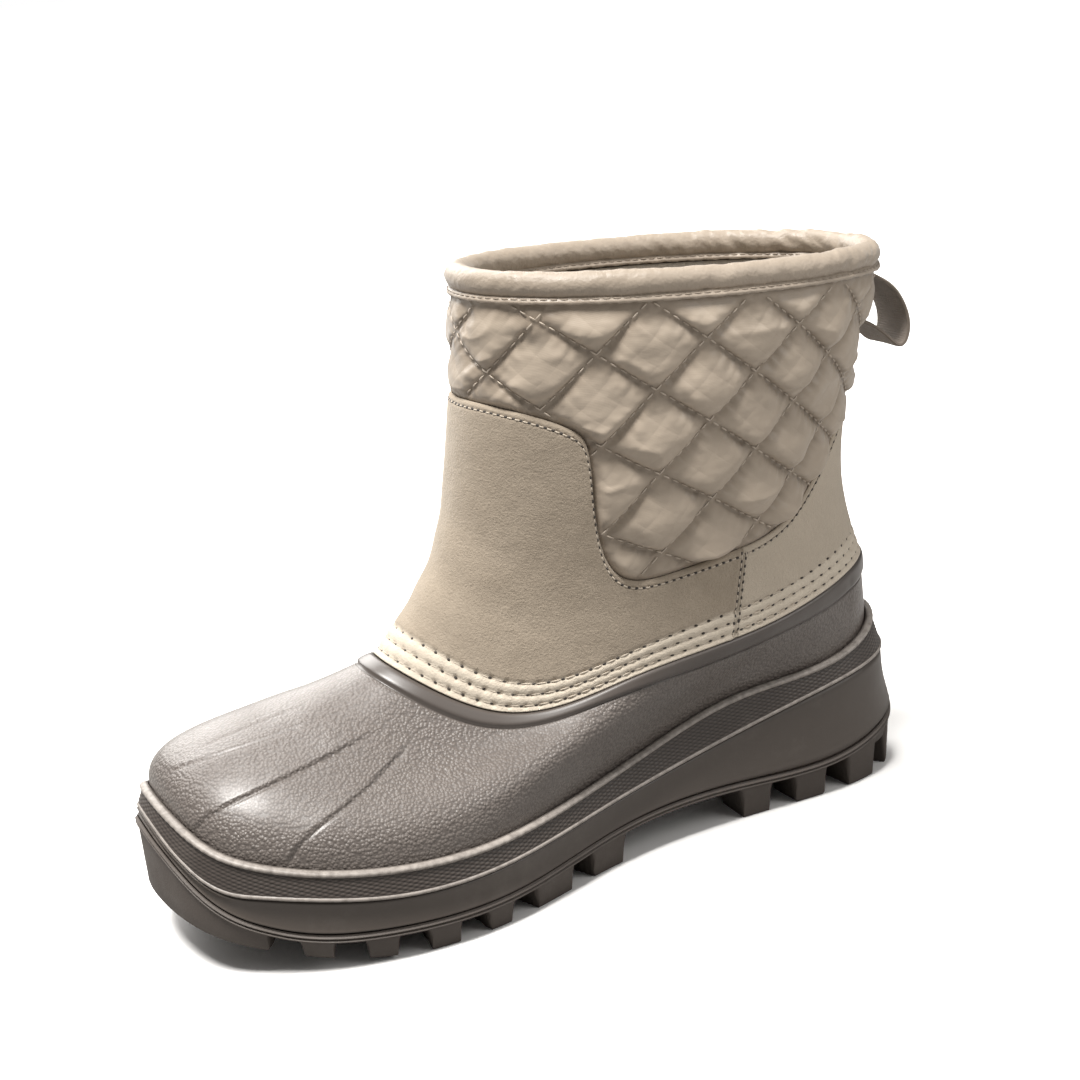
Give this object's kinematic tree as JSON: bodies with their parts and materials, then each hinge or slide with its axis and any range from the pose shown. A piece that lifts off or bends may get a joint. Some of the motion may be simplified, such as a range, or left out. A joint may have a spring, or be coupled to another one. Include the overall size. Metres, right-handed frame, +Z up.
{
  "type": "winter boot",
  "caption": "Pull-on winter boot for the left foot, with a lugged sole, moulded rubber foot, suede panels, quilted padded shaft, rolled collar and a webbing pull loop.",
  "frame": {"origin": "on the floor under the middle of the boot's box, with the lugs' undersides at z = 0", "axes": "+Z up, the toe points to -Y, +X is the outer side of the left foot"},
  "size_m": [0.109, 0.293, 0.2045],
  "materials": {
    "tread_rubber": "matte moulded rubber",
    "sole_rubber": "smooth satin rubber",
    "band_rubber": "knurled satin rubber",
    "shell_rubber": "satin rubber with a fine pebble grain",
    "quilted_nylon": "satin quilted nylon",
    "suede": "matte napped suede",
    "binding_nylon": "satin nylon",
    "webbing": "matte ribbed webbing",
    "felt": "matte felt"
  },
  "bodies": {
    "root": {"outsole": "tread_rubber", "midsole": "sole_rubber", "foxing_band": "band_rubber", "rubber_shell": "shell_rubber", "quilted_shaft": "quilted_nylon", "suede_front": "suede", "suede_counter": "suede", "collar_binding": "binding_nylon", "pull_loop": "webbing", "insole": "felt"}
  },
  "joints": []
}
